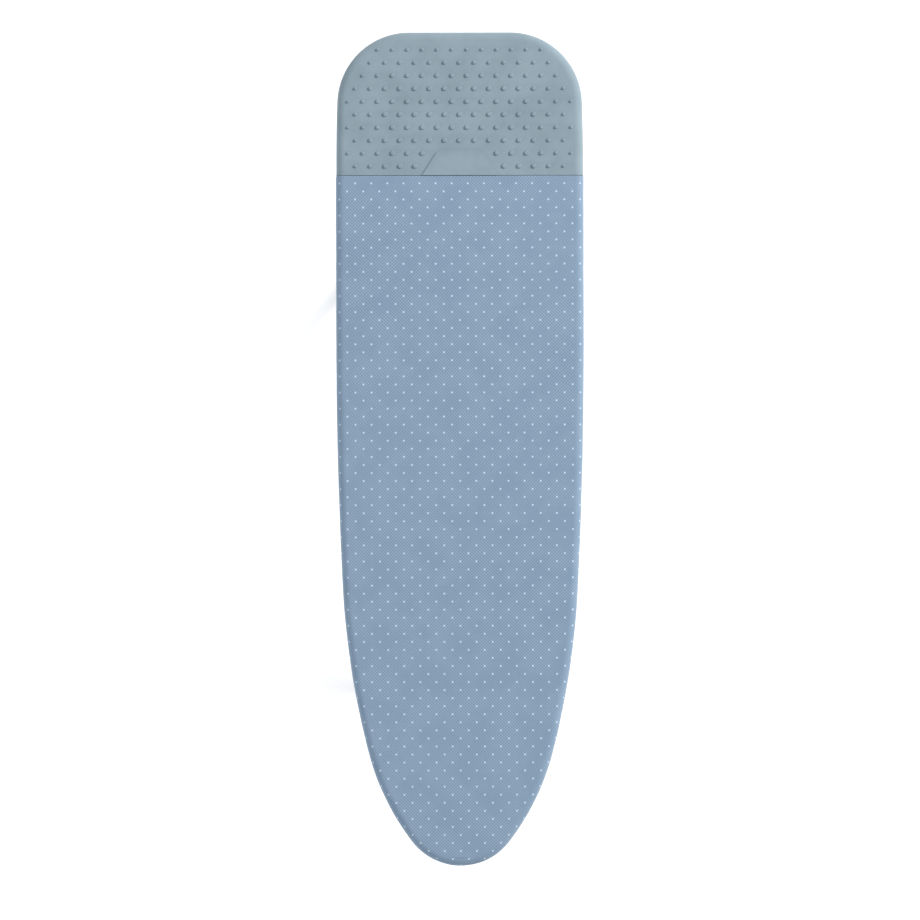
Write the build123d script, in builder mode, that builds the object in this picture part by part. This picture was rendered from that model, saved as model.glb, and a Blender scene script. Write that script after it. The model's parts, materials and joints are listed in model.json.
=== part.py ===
from build123d import *

import os
from math import asin, cos, degrees, radians, sin

# Full-size ironing board: padded top with a studded silicone iron rest, on folding crossed legs.
#
# Frame, millimetres: +Z up, the floor at Z = 0, +X along the board from its square end to its nose,
# the origin on the floor below the middle of the top. The legs are drawn open, at the highest setting.

# ---------------------------------------------------------------- top, driving dimensions
BOARD_LENGTH = 1248.0
BOARD_WIDTH = 370.6
TOP_Z = 900.0                 # ironing surface above the floor
SQUARE_CORNER_R = 108.0
SQUARE_LEAD_R, SQUARE_LEAD_TURN = 2600.0, 2.0               # easy bend that leads into each corner
NOSE_ARCS = [(91.1, 52.3), (371.4, 23.1), (1240.0, 11.8)]   # radius and turn, from the nose tip
IRON_REST_DEPTH = 215.3       # from the square end to the seam
SEAM_GAP = 1.0

EDGE_R = 12.0                 # rounding of the padded edge
COVER_T = 1.0
FOAM_T = 5.0
FELT_T = 2.0
DECK_T = 1.0
LAYER_GAP = 0.1
DECK_INSET = 8.4
DECK_RIM_DEPTH = 16.6
COVER_DEPTH = 27.0            # the cover's height at the edge
HEM_WIDTH = 28.0              # how far the cover wraps under

X_NOSE = BOARD_LENGTH / 2
X_SQUARE = -BOARD_LENGTH / 2
HALF_WIDTH = BOARD_WIDTH / 2
X_SEAM = X_SQUARE + IRON_REST_DEPTH

DECK_TOP = TOP_Z - COVER_T - FOAM_T - FELT_T - 4 * LAYER_GAP
DECK_UNDER = DECK_TOP - DECK_T
FITTING_Z = DECK_UNDER - LAYER_GAP          # where fittings meet the deck

# ---------------------------------------------------------------- iron rest
MAT_INSET = 0.6
MAT_DROP = 0.8                # mat surface below the cover's
MAT_T = 4.0
MAT_LIP = 16.0
STUD_PITCH = 22.23
STUD_ROW_PITCH = 19.35
STUD_FIRST_ROW = 26.9         # from the square end
STUD_ROW_COUNTS = [12, 13, 14, 15, 16, 15, 16, 15, 16, 15]
STUD_H = 2.7
STUD_ROUND = 1.3
STUD_R_EDGE = 2.1
STUD_R_MIDDLE = 3.4
STUD_GROW = (12.0, 80.0)      # distances from the edge between which studs reach full size
TAB_DEPTH = 37.5
TAB_BASE_HALF = 56.4
TAB_TOP_HALF = 32.5
TAB_H = 1.5
TAB_SHOULDER_R = 16.0

VENT_START = 243.2            # first steam vents, from the square end

# ---------------------------------------------------------------- legs
PIVOT_Z = 854.0
LEG_LENGTH = 1050.0           # pivot to foot bar
UPPER_LENGTH = 405.0          # pivot to the crossing
FOOT_AXIS_Z = 14.0
PIVOT_X = 243.0
OUTER_Y = 95.0
INNER_Y = 65.0
TUBE_R, TUBE_WALL = 10.0, 1.2
BAR_R, BAR_WALL = 11.0, 1.3
BRACE_R = 8.0
OUTER_BAR_HALF, INNER_BAR_HALF = 166.0, 112.0
CAP_R, CAP_LENGTH, CAP_GRIP = 15.0, 28.0, 16.0
OUTER_BRACE_AT, INNER_BRACE_AT = 930.0, 600.0
TUBE_OVERRUN = 9.0
RIVET_R, RIVET_HEAD_R, RIVET_HEAD_T = 2.0, 3.6, 1.4
SCREW_R, SCREW_GRIP = 1.5, 3.0
RUNNING = 0.05                # radial clearance of pins in holes
WELD_GAP = 0.05

LEG_ANGLE = degrees(asin((PIVOT_Z - FOOT_AXIS_Z) / LEG_LENGTH))
RUN = cos(radians(LEG_ANGLE))
RISE = sin(radians(LEG_ANGLE))
CROSS_X, CROSS_Z = PIVOT_X - UPPER_LENGTH * RUN, PIVOT_Z - UPPER_LENGTH * RISE
SLIDER_X = PIVOT_X - 2 * UPPER_LENGTH * RUN
SLIDER_X_FOLDED = PIVOT_X - 2 * UPPER_LENGTH
OUTER_DIR, INNER_DIR = (-RUN, 0, -RISE), (RUN, 0, -RISE)

# ---------------------------------------------------------------- pivots and fasteners
PIN_R = 4.0
BRACKET_SHEET = 2.0
EAR_GAP = 0.6
BOLT_R = 4.0
AXLE_R = 5.0

# ---------------------------------------------------------------- ribs, rail and lock
RIB_DEPTH, RIB_WIDTH, RIB_SHEET = 16.0, 40.0, 1.5
RIBS = {"front": (PIVOT_X, 134.0), "middle": (-60.0, 146.0), "nose": (486.0, 78.0)}   # x, half length
RAIL_HALF, RAIL_SHEET, RAIL_BOTTOM = 20.0, 2.0, 841.0
SLOT_CLEAR = 0.4
BLOCK_L, BLOCK_H, BLOCK_T = 40.0, 18.0, 15.0
BLOCK_INNER_Y = 2.2
BUMPER_L = 8.0
RAIL_X0 = SLIDER_X_FOLDED - BLOCK_L / 2 - BUMPER_L - 3
RAIL_X1 = SLIDER_X + BLOCK_L / 2 + BUMPER_L + 3
PLATE_T, PLATE_H = 3.0, 21.6
PLATE_Z = PIVOT_Z + AXLE_R + 0.4
LOCK_LIFT = 4.5
NOTCH_STEP, NOTCH_COUNT = 33.0, 6
GUIDE_R, GUIDE_Z = 2.5, 875.0
SPRING_X, SPRING_R, SPRING_WIRE_R = -330.0, 3.2, 0.35
SPRING_TURNS, SPRING_HEIGHT = 2.5, 6.5
LEVER_X = -420.0
LEVER_PIN_Y, LEVER_Z = -70.0, 874.0         # the pin lies across the rail from the grip
LEVER_WIDTH, LEVER_T = 14.0, 4.0
LEVER_PIN_R = 3.0
GRIP = (76.0, 48.0, 12.0)
GRIP_Y, GRIP_Z = 152.0, 848.0
LEVER_BEND_Y, LEVER_EAR_T = 113.0, 1.5
LATCH_X, LATCH_Y = -500.0, 122.0
LATCH_POST_R = 3.0
LATCH_Z, LATCH_BLADE_T = 834.6, 4.8          # underside of the blade, just below the folded legs
LATCH_HEAD_T = 3.0

SIDES = {"left": -1, "right": 1}


def save(part, name):
    part.label = name
    export_step(part, f"parts/{name}.step")


# ================================================================ plan shape
def plan(inset):
    """The board's plan outline as a face, drawn `inset` inside the outer edge."""
    turned = sum(turn for _, turn in NOSE_ARCS)
    width, heading = 0.0, 0.0
    for radius, turn in NOSE_ARCS:
        width += radius * (sin(radians(heading + turn)) - sin(radians(heading)))
        heading += turn
    side_radius = (HALF_WIDTH - width) / (1 - sin(radians(turned)))
    arcs = NOSE_ARCS + [(side_radius, 90 - turned)]
    with BuildSketch() as face:
        with BuildLine() as edge:
            at, heading = Vector(X_NOSE - inset, 0), Vector(0, 1)
            for radius, turn in arcs:
                arc = JernArc(at, heading, radius - inset, turn)
                at, heading = arc @ 1, arc % 1
            lead_end = SQUARE_CORNER_R * (1 - sin(radians(SQUARE_LEAD_TURN)))
            lead_start = X_SQUARE + lead_end + SQUARE_LEAD_R * sin(radians(SQUARE_LEAD_TURN))
            side = Line(at, (lead_start, HALF_WIDTH - inset))
            lead = JernArc(side @ 1, (-1, 0), SQUARE_LEAD_R - inset, SQUARE_LEAD_TURN)
            corner = JernArc(lead @ 1, lead % 1, SQUARE_CORNER_R - inset, 90 - SQUARE_LEAD_TURN)
            Line(corner @ 1, (X_SQUARE + inset, 0))
            mirror(about=Plane.XZ)
        make_face()
    return face.sketch


def slab(inset, top, bottom, top_round=0.0, bottom_round=0.0):
    """A solid of the plan shape between two heights, with rounded rims."""
    with BuildPart() as block:
        with BuildSketch(Plane.XY.offset(bottom)):
            add(plan(inset))
        extrude(amount=top - bottom)
        if top_round:
            fillet(block.faces().sort_by(Axis.Z)[-1].edges(), top_round)
        if bottom_round:
            fillet(block.faces().sort_by(Axis.Z)[0].edges(), bottom_round)
    return block.part


def keep(part, x0, x1):
    """The stretch of a part between two positions along the board."""
    with BuildPart() as cut:
        add(part)
        with Locations(((x0 + x1) / 2, 0, TOP_Z)):
            Box(x1 - x0, 2 * BOARD_WIDTH, 400, mode=Mode.INTERSECT)
    return cut.part


# ================================================================ padded top
def cover():
    """Printed cotton cover: over the edge and under, open in the middle below."""
    with BuildPart() as cloth:
        add(slab(0, TOP_Z, TOP_Z - COVER_DEPTH, EDGE_R, 5))
        add(slab(COVER_T, TOP_Z - COVER_T, TOP_Z - COVER_DEPTH + COVER_T, EDGE_R - COVER_T, 4),
            mode=Mode.SUBTRACT)
        add(slab(HEM_WIDTH, TOP_Z - COVER_DEPTH + 2, TOP_Z - COVER_DEPTH - 1), mode=Mode.SUBTRACT)
    return keep(cloth.part, X_SEAM + SEAM_GAP / 2, X_NOSE + 1)


def cover_binding():
    """Elastic binding sewn round the cover's opening."""
    low = TOP_Z - COVER_DEPTH - 1.5
    with BuildPart() as band:
        add(slab(HEM_WIDTH + 0.1, low + 3.5, low))
        add(slab(HEM_WIDTH + 5, low + 4.5, low - 1), mode=Mode.SUBTRACT)
    return keep(band.part, X_SEAM + SEAM_GAP / 2, X_NOSE)


def foam_pad():
    """Foam sheet over the deck, with its margin turned down over the rim."""
    inset, top = COVER_T + LAYER_GAP, TOP_Z - COVER_T - LAYER_GAP
    with BuildPart() as foam:
        add(slab(inset, top, TOP_Z - 22, EDGE_R - inset))
        add(slab(DECK_INSET - LAYER_GAP, top - FOAM_T, TOP_Z - 23), mode=Mode.SUBTRACT)
    return keep(foam.part, X_SEAM + SEAM_GAP / 2, X_NOSE)


def felt_underlay():
    top = TOP_Z - COVER_T - FOAM_T - 3 * LAYER_GAP
    return keep(slab(DECK_INSET + 4, top, top - FELT_T), X_SEAM + SEAM_GAP / 2, X_NOSE)


# ================================================================ iron rest
def stud_radius(x, y):
    """Studs are small beside the mat's rim and grow to full size further in."""
    corner_x = X_SQUARE + SQUARE_CORNER_R
    corner_y = HALF_WIDTH - SQUARE_CORNER_R
    reach = min(x - X_SQUARE, HALF_WIDTH - abs(y))
    if x < corner_x and abs(y) > corner_y:
        reach = SQUARE_CORNER_R - Vector(x - corner_x, abs(y) - corner_y).length
    near, far = STUD_GROW
    share = min(1.0, max(0.0, (reach - near) / (far - near)))
    return STUD_R_EDGE + (STUD_R_MIDDLE - STUD_R_EDGE) * share


def stud_places():
    """Centres of the studs: ten staggered rows, less the ones that the tab takes."""
    places = []
    for row, count in enumerate(STUD_ROW_COUNTS):
        x = X_SQUARE + STUD_FIRST_ROW + row * STUD_ROW_PITCH
        for k in range(count):
            y = (k - (count - 1) / 2) * STUD_PITCH
            beside_tab = x < X_SEAM - TAB_DEPTH - 4 or abs(y) > TAB_TOP_HALF + 16
            if beside_tab:
                places.append((x, y))
    return places


def iron_rest_mat():
    """Silicone mat that wraps the square end, with raised studs and a plain tab at the seam."""
    top, low = TOP_Z - MAT_DROP, TOP_Z - COVER_DEPTH - 1.2
    inner = MAT_INSET + MAT_T
    with BuildPart() as mat:
        add(slab(MAT_INSET, top, low, EDGE_R, 4))
        add(slab(inner, top - MAT_T, low + 2.8, EDGE_R - MAT_T), mode=Mode.SUBTRACT)
        add(slab(MAT_LIP, low + 4, low - 1), mode=Mode.SUBTRACT)
        with Locations((X_SEAM - SEAM_GAP / 2 + BOARD_LENGTH, 0, TOP_Z)):
            Box(2 * BOARD_LENGTH, 2 * BOARD_WIDTH, 200, mode=Mode.SUBTRACT)
        with BuildSketch(Plane.XY.offset(top)):
            for x, y in stud_places():
                with Locations((x, y)):
                    Circle(stud_radius(x, y))
        extrude(amount=STUD_H)
        rims = mat.edges().filter_by(GeomType.CIRCLE).group_by(Axis.Z)[-1]
        fillet(rims, STUD_ROUND)
        with BuildSketch(Plane.XY.offset(top)):
            add(tab_outline())
        extrude(amount=TAB_H)
    return mat.part


def tab_outline():
    """Trapezium with rounded shoulders, its wide side on the seam."""
    seam = X_SEAM - SEAM_GAP / 2
    with BuildSketch() as tab:
        with BuildLine():
            Polyline(
                (seam, -TAB_BASE_HALF), (seam - TAB_DEPTH, -TAB_TOP_HALF),
                (seam - TAB_DEPTH, TAB_TOP_HALF), (seam, TAB_BASE_HALF),
                close=True,
            )
        make_face()
        fillet(tab.vertices().group_by(Axis.X)[0], TAB_SHOULDER_R)
    return tab.sketch


def screw_places():
    return GridLocations(120, 236, 2, 2)


def rest_tray():
    """Moulded tray that carries the mat in place of the foam."""
    inset, top = MAT_INSET + MAT_T + LAYER_GAP, TOP_Z - MAT_DROP - MAT_T - LAYER_GAP
    with BuildPart() as tray:
        add(slab(inset, top, TOP_Z - 21, EDGE_R - MAT_T - LAYER_GAP))
        add(slab(DECK_INSET - LAYER_GAP, DECK_TOP + LAYER_GAP, TOP_Z - 22), mode=Mode.SUBTRACT)
        with Locations((X_SQUARE + 118, 0, DECK_TOP)):
            with screw_places():
                Cylinder(SCREW_R + RUNNING, SCREW_GRIP, align=(Align.CENTER, Align.CENTER, Align.MIN),
                         mode=Mode.SUBTRACT)
    return keep(tray.part, X_SQUARE - 1, X_SEAM - SEAM_GAP / 2)


def rest_screws():
    """Pan-head screws that hold the tray from below."""
    shank = DECK_T + LAYER_GAP + SCREW_GRIP - 0.2
    with BuildPart() as screws:
        with Locations((X_SQUARE + 118, 0, DECK_UNDER - LAYER_GAP)):
            with screw_places():
                Cylinder(SCREW_R, shank, align=(Align.CENTER, Align.CENTER, Align.MIN))
                Cylinder(4, 2.2, align=(Align.CENTER, Align.CENTER, Align.MAX))
        fillet(screws.faces().sort_by(Axis.Z)[0:4].edges(), 1)
        with Locations((X_SQUARE + 118, 0, DECK_UNDER - LAYER_GAP - 2.2)):
            with screw_places():
                Box(5, 0.8, 1.8, mode=Mode.SUBTRACT)
                Box(0.8, 5, 1.8, mode=Mode.SUBTRACT)
    return screws.part


# ================================================================ deck and ribs
def vent_places():
    """Staggered steam vents, kept clear of the rim and of the iron rest."""
    pitch, row_pitch, room = 30.0, 26.0, 34.0
    inside = plan(room)
    places = []
    for row in range(-6, 7):
        y = row * row_pitch
        for k in range(40):
            x = X_SQUARE + VENT_START + k * pitch + (row % 2) * pitch / 2
            if x < X_NOSE - room and inside.face().is_inside(Vector(x, y, 0)):
                places.append((x, y))
    return places


def deck():
    """Pressed steel pan with a turned-down rim, vented under the cover, with screw holes at the tray."""
    with BuildPart() as pan:
        add(slab(DECK_INSET, DECK_TOP, DECK_TOP - DECK_RIM_DEPTH, 4))
        add(slab(DECK_INSET + DECK_T, DECK_UNDER, DECK_TOP - DECK_RIM_DEPTH - 1, 3), mode=Mode.SUBTRACT)
        with BuildSketch(Plane.XY.offset(DECK_TOP)):
            with Locations(vent_places()):
                Circle(5)
        extrude(amount=-3, mode=Mode.SUBTRACT)
        with Locations((X_SQUARE + 118, 0, DECK_TOP)):
            with screw_places():
                Cylinder(SCREW_R + 0.2, 6, mode=Mode.SUBTRACT)
        for x in rail_fixings():
            with Locations((x, 0, DECK_TOP)):
                Cylinder(RIVET_R + RUNNING, 6, mode=Mode.SUBTRACT)
    return pan.part


def deck_rib(x, half_length):
    """Hat channel welded across the underside of the deck."""
    with BuildPart() as rib:
        with BuildSketch(Plane.XZ.offset(-half_length)):
            with Locations((x, FITTING_Z - RIB_DEPTH / 2)):
                Rectangle(RIB_WIDTH, RIB_DEPTH)
            with Locations((x, FITTING_Z - (RIB_DEPTH - RIB_SHEET) / 2)):
                Rectangle(RIB_WIDTH - 2 * RIB_SHEET, RIB_DEPTH - RIB_SHEET, mode=Mode.SUBTRACT)
            for side in (-1, 1):
                with Locations((x + side * (RIB_WIDTH / 2 + 5), FITTING_Z - RIB_SHEET / 2)):
                    Rectangle(10 + 2 * RIB_SHEET, RIB_SHEET)
        extrude(amount=2 * half_length)
        if x == PIVOT_X:
            with Locations(*rivet_places(FITTING_Z - RIB_DEPTH)):
                Cylinder(RIVET_R + RUNNING, 2 * RIB_SHEET + 1, mode=Mode.SUBTRACT)
    return rib.part


# ================================================================ fixed pivot
def rivet_places(z):
    """Where the pivot brackets are riveted to the front rib."""
    return [(PIVOT_X + dx, side * OUTER_Y, z) for side in SIDES.values() for dx in (-10, 10)]


def pivot_bracket(side):
    """Clevis below the front rib that takes one outer leg tube."""
    y, ear_y = side * OUTER_Y, TUBE_R + EAR_GAP
    base_z = FITTING_Z - RIB_DEPTH - LAYER_GAP
    with BuildPart() as bracket:
        with Locations((PIVOT_X, y, base_z)):
            Box(34, 2 * (ear_y + BRACKET_SHEET), BRACKET_SHEET,
                align=(Align.CENTER, Align.CENTER, Align.MAX))
        with BuildSketch(Plane.XZ.offset(-y - ear_y - BRACKET_SHEET)):
            with Locations((PIVOT_X, PIVOT_Z)):
                Circle(10)
            with Locations((PIVOT_X, base_z)):
                Trapezoid(34, base_z - PIVOT_Z, 78, rotation=180, align=(Align.CENTER, Align.MIN))
        extrude(amount=2 * (ear_y + BRACKET_SHEET))
        with Locations((PIVOT_X, y, base_z - BRACKET_SHEET)):
            Box(60, 2 * ear_y, 60, align=(Align.CENTER, Align.CENTER, Align.MAX), mode=Mode.SUBTRACT)
        with Locations(Location((PIVOT_X, y, PIVOT_Z), (90, 0, 0))):
            Cylinder(PIN_R + RUNNING, 60, mode=Mode.SUBTRACT)
        with Locations(*rivet_places(base_z)):
            Cylinder(RIVET_R + RUNNING, 8, mode=Mode.SUBTRACT)
    return bracket.part


def pivot_pins():
    """Clevis pins, each with a head outside and a snap ring inside."""
    reach = TUBE_R + EAR_GAP + BRACKET_SHEET
    with BuildPart() as pins:
        for side in SIDES.values():
            inner = side * (OUTER_Y - reach - 3.2)
            outer = side * (OUTER_Y + reach + 0.2)
            along_y(inner, outer, PIN_R, x=PIVOT_X, z=PIVOT_Z)
            head = along_y(outer, outer + side * 2.4, 6.5, x=PIVOT_X, z=PIVOT_Z)
            fillet(outer_rim(head, side), 0.9)
            along_y(inner + side * 1.4, inner + side * 2.6, 6, x=PIVOT_X, z=PIVOT_Z)
    return pins.part


def bracket_rivets():
    """Two rivets through each pivot bracket and the rib."""
    base_z = FITTING_Z - RIB_DEPTH - LAYER_GAP
    with BuildPart() as rivets:
        add_rivets(rivet_places(base_z - BRACKET_SHEET - LAYER_GAP),
                   BRACKET_SHEET + RIB_SHEET + 3 * LAYER_GAP)
        with Locations(*rivet_places(base_z + RIB_SHEET + 2 * LAYER_GAP)):
            Cylinder(RIVET_R + 1, 1, align=(Align.CENTER, Align.CENTER, Align.MIN))
    return rivets.part


def add_rivets(places, grip):
    """Domed rivets, heads down, in the part being built."""
    with Locations(*places):
        Cylinder(RIVET_R, grip, align=(Align.CENTER, Align.CENTER, Align.MIN))
        head = Cylinder(RIVET_HEAD_R, RIVET_HEAD_T, align=(Align.CENTER, Align.CENTER, Align.MAX))
    fillet(head.faces().filter_by(Axis.Z).group_by(Axis.Z)[0].edges(), RIVET_HEAD_T * 0.7)


# ================================================================ legs
def leg_origin(direction):
    """Where a leg starts: the outer legs at the fixed pivot, the inner ones at the slider axle."""
    return (PIVOT_X if direction is OUTER_DIR else SLIDER_X), PIVOT_Z


def along(direction, distance, y=0.0):
    """A point on a leg's centreline."""
    x, z = leg_origin(direction)
    return (x + direction[0] * distance, y, z + direction[2] * distance)


def cross_hole(direction, distance, radius):
    """Cuts a hole along Y through the leg being built."""
    with Locations(Location(along(direction, distance), (90, 0, 0))):
        Cylinder(radius, 4 * OUTER_Y, mode=Mode.SUBTRACT)


def leg_tube(direction, y, top_hole):
    """Straight steel tube from its top pivot to the foot bar, coped round the bar."""
    start = Plane(origin=along(direction, -TUBE_OVERRUN, y), z_dir=direction)
    with BuildPart() as tube:
        with BuildSketch(start):
            Circle(TUBE_R)
            Circle(TUBE_R - TUBE_WALL, mode=Mode.SUBTRACT)
        extrude(amount=LEG_LENGTH + TUBE_OVERRUN)
        cross_hole(direction, 0, top_hole)
        cross_hole(direction, UPPER_LENGTH, BOLT_R + RUNNING)
        cross_hole(direction, LEG_LENGTH, BAR_R + WELD_GAP)
    return tube.part


def leg_plug(direction, y, top_hole):
    """Moulded plug that closes the tube's top end, bored for the pin."""
    start = Plane(origin=along(direction, -TUBE_OVERRUN - 1.5, y), z_dir=direction)
    with BuildPart() as plug:
        with BuildSketch(start):
            Circle(TUBE_R - 0.2)
        extrude(amount=1.45)
        fillet(plug.edges().filter_by(GeomType.CIRCLE).sort_by(Axis.Z)[-1], 1)
        with BuildSketch(start.offset(1.45)):
            Circle(TUBE_R - TUBE_WALL - 0.1)
        extrude(amount=26)
        cross_hole(direction, 0, top_hole)
    return plug.part


def foot_bar(direction, half):
    """Tube across the foot of a leg pair."""
    x, _, z = along(direction, LEG_LENGTH)
    with BuildPart() as bar:
        with BuildSketch(Plane(origin=(x, -half, z), z_dir=(0, 1, 0))):
            Circle(BAR_R)
            Circle(BAR_R - BAR_WALL, mode=Mode.SUBTRACT)
        extrude(amount=2 * half)
    return bar.part


def foot_cap(direction, side, half):
    """Rubber cap on the end of a foot bar, with a flat tread on the floor."""
    x, _, z = along(direction, LEG_LENGTH)
    start = Plane(origin=(x, side * (half - CAP_GRIP), z), z_dir=(0, side, 0))
    with BuildPart() as cap:
        with BuildSketch(start):
            Circle(CAP_R)
        extrude(amount=CAP_LENGTH)
        fillet(outer_rim(cap, side), 5)
        with Locations((x, side * half, 0)):
            Box(60, 80, 40, align=(Align.CENTER, Align.CENTER, Align.MAX), mode=Mode.SUBTRACT)
        with BuildSketch(start):
            Circle(BAR_R + WELD_GAP)
        extrude(amount=CAP_GRIP + WELD_GAP, mode=Mode.SUBTRACT)
    return cap.part


def leg_brace(direction, distance, y):
    """Cross tube between the two tubes of a leg pair, coped round both."""
    x, _, z = along(direction, distance)
    with BuildPart() as brace:
        with BuildSketch(Plane(origin=(x, -y, z), z_dir=(0, 1, 0))):
            Circle(BRACE_R)
            Circle(BRACE_R - TUBE_WALL, mode=Mode.SUBTRACT)
        extrude(amount=2 * y)
        for side in SIDES.values():
            with BuildSketch(Plane(origin=along(direction, distance - 40, side * y), z_dir=direction)):
                Circle(TUBE_R + WELD_GAP)
            extrude(amount=80, mode=Mode.SUBTRACT)
    return brace.part


# ================================================================ crossing
def along_y(y0, y1, radius, bore=0.0, x=CROSS_X, z=CROSS_Z):
    """A round piece along Y, bored if asked, in the part being built."""
    with BuildSketch(Plane(origin=(x, min(y0, y1), z), z_dir=(0, 1, 0))) as disc:
        Circle(radius)
        if bore:
            Circle(bore, mode=Mode.SUBTRACT)
    return extrude(disc.sketch, amount=abs(y1 - y0))


def outer_rim(piece, side):
    """The round rim of a piece along Y that lies furthest out on one side."""
    return piece.edges().filter_by(GeomType.CIRCLE).sort_by(Axis.Y)[-1 if side > 0 else 0]


def cross_bolts():
    """Shoulder bolts, each through an outer and an inner tube, with a domed head outside."""
    outside = OUTER_Y + TUBE_R + 1.4
    with BuildPart() as bolts:
        for side in SIDES.values():
            along_y(side * (INNER_Y - TUBE_R - 1.2), side * outside, BOLT_R)
            head = along_y(side * outside, side * (outside + 4), 8)
            fillet(outer_rim(head, side), 3)
    return bolts.part


def cross_washers():
    outside = OUTER_Y + TUBE_R
    with BuildPart() as washers:
        for side in SIDES.values():
            along_y(side * (outside + 0.05), side * (outside + 1.35), 9.5, BOLT_R + RUNNING)
    return washers.part


def cross_spacer(side):
    """Nylon spacer between the outer and the inner tube."""
    with BuildPart() as spacer:
        along_y(side * (INNER_Y + TUBE_R + 0.3), side * (OUTER_Y - TUBE_R - 0.3), 11, BOLT_R + RUNNING)
    return spacer.part


def cross_nuts():
    """Closed hexagon nuts on the bolts' inner ends."""
    inside = INNER_Y - TUBE_R - 0.3
    with BuildPart() as nuts:
        for side in SIDES.values():
            with BuildSketch(Plane(origin=(CROSS_X, side * inside, CROSS_Z), z_dir=(0, -side, 0))):
                RegularPolygon(7.5, 6)
            extrude(amount=6)
            dome = along_y(side * (inside - 6), side * (inside - 9), 6)
            fillet(outer_rim(dome, -side), 2.5)
            with BuildSketch(Plane(origin=(CROSS_X, side * inside, CROSS_Z), z_dir=(0, -side, 0))):
                Circle(BOLT_R + RUNNING)
            extrude(amount=1, mode=Mode.SUBTRACT)
    return nuts.part


# ================================================================ sliding end
def slider_axle():
    """Steel axle through both inner tubes and the rail's slots."""
    reach = INNER_Y + TUBE_R + 3
    with BuildPart() as axle:
        along_y(-reach, reach, AXLE_R, x=SLIDER_X, z=PIVOT_Z)
    return axle.part


def axle_cap(side):
    """Push-on cap at the axle's end."""
    inside = INNER_Y + TUBE_R + 0.2
    with BuildPart() as cap:
        body = along_y(side * inside, side * (inside + 6), 7.5, x=SLIDER_X, z=PIVOT_Z)
        fillet(outer_rim(body, side), 2)
        with BuildSketch(Plane(origin=(SLIDER_X, side * inside, PIVOT_Z), z_dir=(0, side, 0))):
            Circle(AXLE_R + RUNNING)
        extrude(amount=2.9, mode=Mode.SUBTRACT)
    return cap.part


def slider_block(side):
    """Nylon block that runs in the rail on the axle."""
    middle = side * (BLOCK_INNER_Y + BLOCK_T / 2)
    with BuildPart() as block:
        with Locations((SLIDER_X, middle, PIVOT_Z)):
            Box(BLOCK_L, BLOCK_T, BLOCK_H)
        fillet(block.edges().filter_by(Axis.Y), 5)
        with Locations(Location((SLIDER_X, middle, PIVOT_Z), (90, 0, 0))):
            Cylinder(AXLE_R + RUNNING, 40, mode=Mode.SUBTRACT)
    return block.part


# ================================================================ rail and lock
def height_rail():
    """Channel below the deck whose slotted walls guide the slider axle."""
    middle, length = (RAIL_X0 + RAIL_X1) / 2, RAIL_X1 - RAIL_X0
    height = FITTING_Z - RAIL_BOTTOM
    inside = RAIL_HALF - RAIL_SHEET
    with BuildPart() as rail:
        with Locations((middle, 0, RAIL_BOTTOM + height / 2)):
            Box(length, 2 * RAIL_HALF, height)
        with Locations((middle, 0, RAIL_BOTTOM + (height - RAIL_SHEET) / 2)):
            Box(length, 2 * inside, height - RAIL_SHEET, mode=Mode.SUBTRACT)
        with BuildSketch(Plane.XZ):
            with Locations(((SLIDER_X + SLIDER_X_FOLDED) / 2, PIVOT_Z)):
                SlotCenterToCenter(SLIDER_X - SLIDER_X_FOLDED + 1, 2 * (AXLE_R + SLOT_CLEAR))
            with Locations(*[(x, GUIDE_Z) for x in guide_places()]):
                Circle(GUIDE_R + RUNNING)
        extrude(amount=2 * RAIL_HALF, both=True, mode=Mode.SUBTRACT)
        with Locations((LEVER_X, 0, LEVER_Z + 2)):
            Box(LEVER_WIDTH + 6, 3 * RAIL_HALF, 16, mode=Mode.SUBTRACT)
        for x in rail_fixings():
            with Locations((x, 0, FITTING_Z)):
                Cylinder(RIVET_R + RUNNING, 12, mode=Mode.SUBTRACT)
    return rail.part


def guide_places():
    return RAIL_X0 + 22, RAIL_X1 - 22


def rail_fixings():
    return RAIL_X0 + 10, (RAIL_X0 + RAIL_X1) / 2 + 30, RAIL_X1 - 10


def rail_rivets():
    """Rivets that fix the rail's web to the deck."""
    seat = FITTING_Z - RAIL_SHEET - LAYER_GAP
    with BuildPart() as rivets:
        add_rivets([(x, 0, seat) for x in rail_fixings()], DECK_TOP - seat)
    return rivets.part


def rail_bumper(x0):
    """Rubber stop inside one end of the rail, slotted for the lock plate."""
    inside = RAIL_HALF - RAIL_SHEET - LAYER_GAP
    with BuildPart() as bumper:
        for side in SIDES.values():
            with Locations((x0 + BUMPER_L / 2, side * (inside + 3) / 2, PIVOT_Z)):
                Box(BUMPER_L, inside - 3, BLOCK_H + 4)
    return bumper.part


def guide_pins():
    """Two pins across the rail that guide the lock plate."""
    with BuildPart() as pins:
        for x in guide_places():
            along_y(-RAIL_HALF - 0.9, RAIL_HALF + 0.9, GUIDE_R, x=x, z=GUIDE_Z)
            for side in SIDES.values():
                along_y(side * (RAIL_HALF + 0.1), side * (RAIL_HALF + 1.6), GUIDE_R + 1.5, x=x, z=GUIDE_Z)
    return pins.part


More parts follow.
